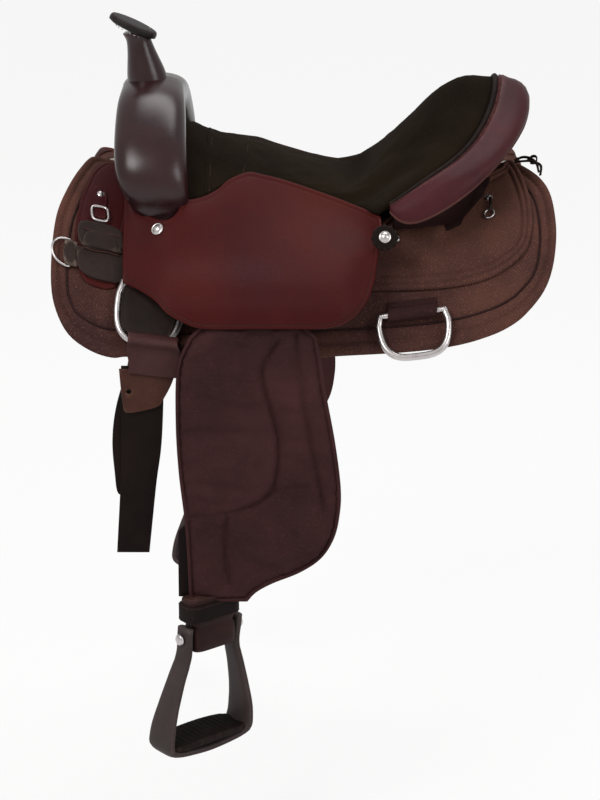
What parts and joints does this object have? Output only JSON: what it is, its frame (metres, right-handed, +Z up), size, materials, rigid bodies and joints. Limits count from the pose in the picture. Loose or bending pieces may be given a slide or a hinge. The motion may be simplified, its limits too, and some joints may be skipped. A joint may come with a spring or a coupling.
{
  "type": "trail saddle",
  "caption": "Western trail saddle with a horn, a high cantle, a padded seat, leather jockeys, woven skirts and hanging fenders with stirrups.",
  "frame": {"origin": "the top of the channel between the bars, at the middle of the back under the seat", "axes": "+X to the rear (cantle), -Y to the near side, +Z up"},
  "size_m": [0.643, 0.701, 0.891],
  "materials": {
    "burgundy_leather": "satin",
    "dark_strap": "satin",
    "fleece": "matte",
    "glossy_leather": "gloss",
    "latigo_leather": "matte",
    "quilted_nylon": "matte",
    "steel": "brushed",
    "stirrup_leather_grey": "matte",
    "suede": "matte",
    "tree_wood": "matte",
    "woven_nylon": "matte"
  },
  "bodies": {
    "saddle": {"cantle_binding": "dark_strap", "cantle_roll": "burgundy_leather", "fleece_left": "fleece", "fleece_right": "fleece", "front_concho_left": "steel", "front_concho_right": "steel", "front_jockey_left": "burgundy_leather", "front_jockey_right": "burgundy_leather", "front_rigging_left": "dark_strap", "front_rigging_right": "dark_strap", "ground_seat": "burgundy_leather", "horn_cap": "dark_strap", "horn_core": "steel", "horn_wrap": "glossy_leather", "jockey_concho_left": "steel", "jockey_concho_right": "steel", "latigo_keeper": "dark_strap", "padded_seat": "suede", "rear_concho_left": "steel", "rear_concho_right": "steel", "rear_jockey_left": "woven_nylon", "rear_jockey_right": "woven_nylon", "rear_rigging_left": "dark_strap", "rear_rigging_right": "dark_strap", "rear_rosette_left": "dark_strap", "rear_rosette_right": "dark_strap", "seat_jockey_left": "burgundy_leather", "seat_jockey_right": "burgundy_leather", "skirt_left": "woven_nylon", "skirt_right": "woven_nylon", "swell_cover": "glossy_leather", "tree_bar_left": "tree_wood", "tree_bar_right": "tree_wood", "tree_cantle": "burgundy_leather", "tree_fork": "tree_wood"},
    "fender_left_body": {"fender_left": "quilted_nylon", "lower_leather_left": "dark_strap", "stirrup_leather_left": "dark_strap", "hobble_strap_left": "burgundy_leather"},
    "stirrup_left_body": {"stirrup_left": "stirrup_leather_grey", "stirrup_tread_left": "dark_strap", "stirrup_bolt_left": "steel"},
    "front_dee_left_body": {"front_dee_left": "steel"},
    "latigo_body": {"latigo": "latigo_leather"},
    "rear_dee_left_body": {"rear_dee_left": "steel"},
    "fender_right_body": {"fender_right": "quilted_nylon", "lower_leather_right": "dark_strap", "stirrup_leather_right": "dark_strap", "hobble_strap_right": "burgundy_leather"},
    "stirrup_right_body": {"stirrup_right": "stirrup_leather_grey", "stirrup_tread_right": "dark_strap", "stirrup_bolt_right": "steel"},
    "front_dee_right_body": {"front_dee_right": "steel"},
    "off_billet_body": {"off_billet": "latigo_leather"},
    "rear_dee_right_body": {"rear_dee_right": "steel"}
  },
  "joints": [
    {"name": "fender_left_swing", "type": "hinge", "parent": "saddle", "child": "fender_left_body", "pos_m": [-0.045, -0.14, -0.006], "axis": [0, -0.9962, 0.0872], "range_deg": [-15, 15], "deforming": ["stirrup_leather_left"]},
    {"name": "stirrup_left_swing", "type": "hinge", "parent": "fender_left_body", "child": "stirrup_left_body", "pos_m": [-0.112, -0.292, -0.486], "axis": [0.8387, 0.5446, 0], "range_deg": [-25, 25]},
    {"name": "front_dee_left_lift", "type": "hinge", "parent": "saddle", "child": "front_dee_left_body", "pos_m": [-0.172, -0.20096, -0.04929], "axis": [-0.9802, 0, 0.198], "range_deg": [0, 30]},
    {"name": "latigo_swing", "type": "hinge", "parent": "front_dee_left_body", "child": "latigo_body", "pos_m": [-0.18408, -0.24958, -0.10908], "axis": [-0.9802, 0, 0.198], "range_deg": [0, 40]},
    {"name": "rear_dee_left_lift", "type": "hinge", "parent": "saddle", "child": "rear_dee_left_body", "pos_m": [0.156, -0.21532, -0.07872], "axis": [0.9922, 0, 0.125], "range_deg": [-45, 0]},
    {"name": "fender_right_swing", "type": "hinge", "parent": "saddle", "child": "fender_right_body", "pos_m": [-0.045, 0.14, -0.006], "axis": [0, -0.9962, -0.0872], "range_deg": [-15, 15], "deforming": ["stirrup_leather_right"]},
    {"name": "stirrup_right_swing", "type": "hinge", "parent": "fender_right_body", "child": "stirrup_right_body", "pos_m": [-0.112, 0.292, -0.486], "axis": [0.8387, -0.5446, 0], "range_deg": [-25, 25]},
    {"name": "front_dee_right_lift", "type": "hinge", "parent": "saddle", "child": "front_dee_right_body", "pos_m": [-0.172, 0.20096, -0.04929], "axis": [0.9802, 0, -0.198], "range_deg": [0, 30]},
    {"name": "off_billet_swing", "type": "hinge", "parent": "front_dee_right_body", "child": "off_billet_body", "pos_m": [-0.18408, 0.24958, -0.10908], "axis": [0.9802, 0, -0.198], "range_deg": [0, 40]},
    {"name": "rear_dee_right_lift", "type": "hinge", "parent": "saddle", "child": "rear_dee_right_body", "pos_m": [0.156, 0.21532, -0.07872], "axis": [-0.9922, 0, -0.125], "range_deg": [-45, 0]}
  ]
}
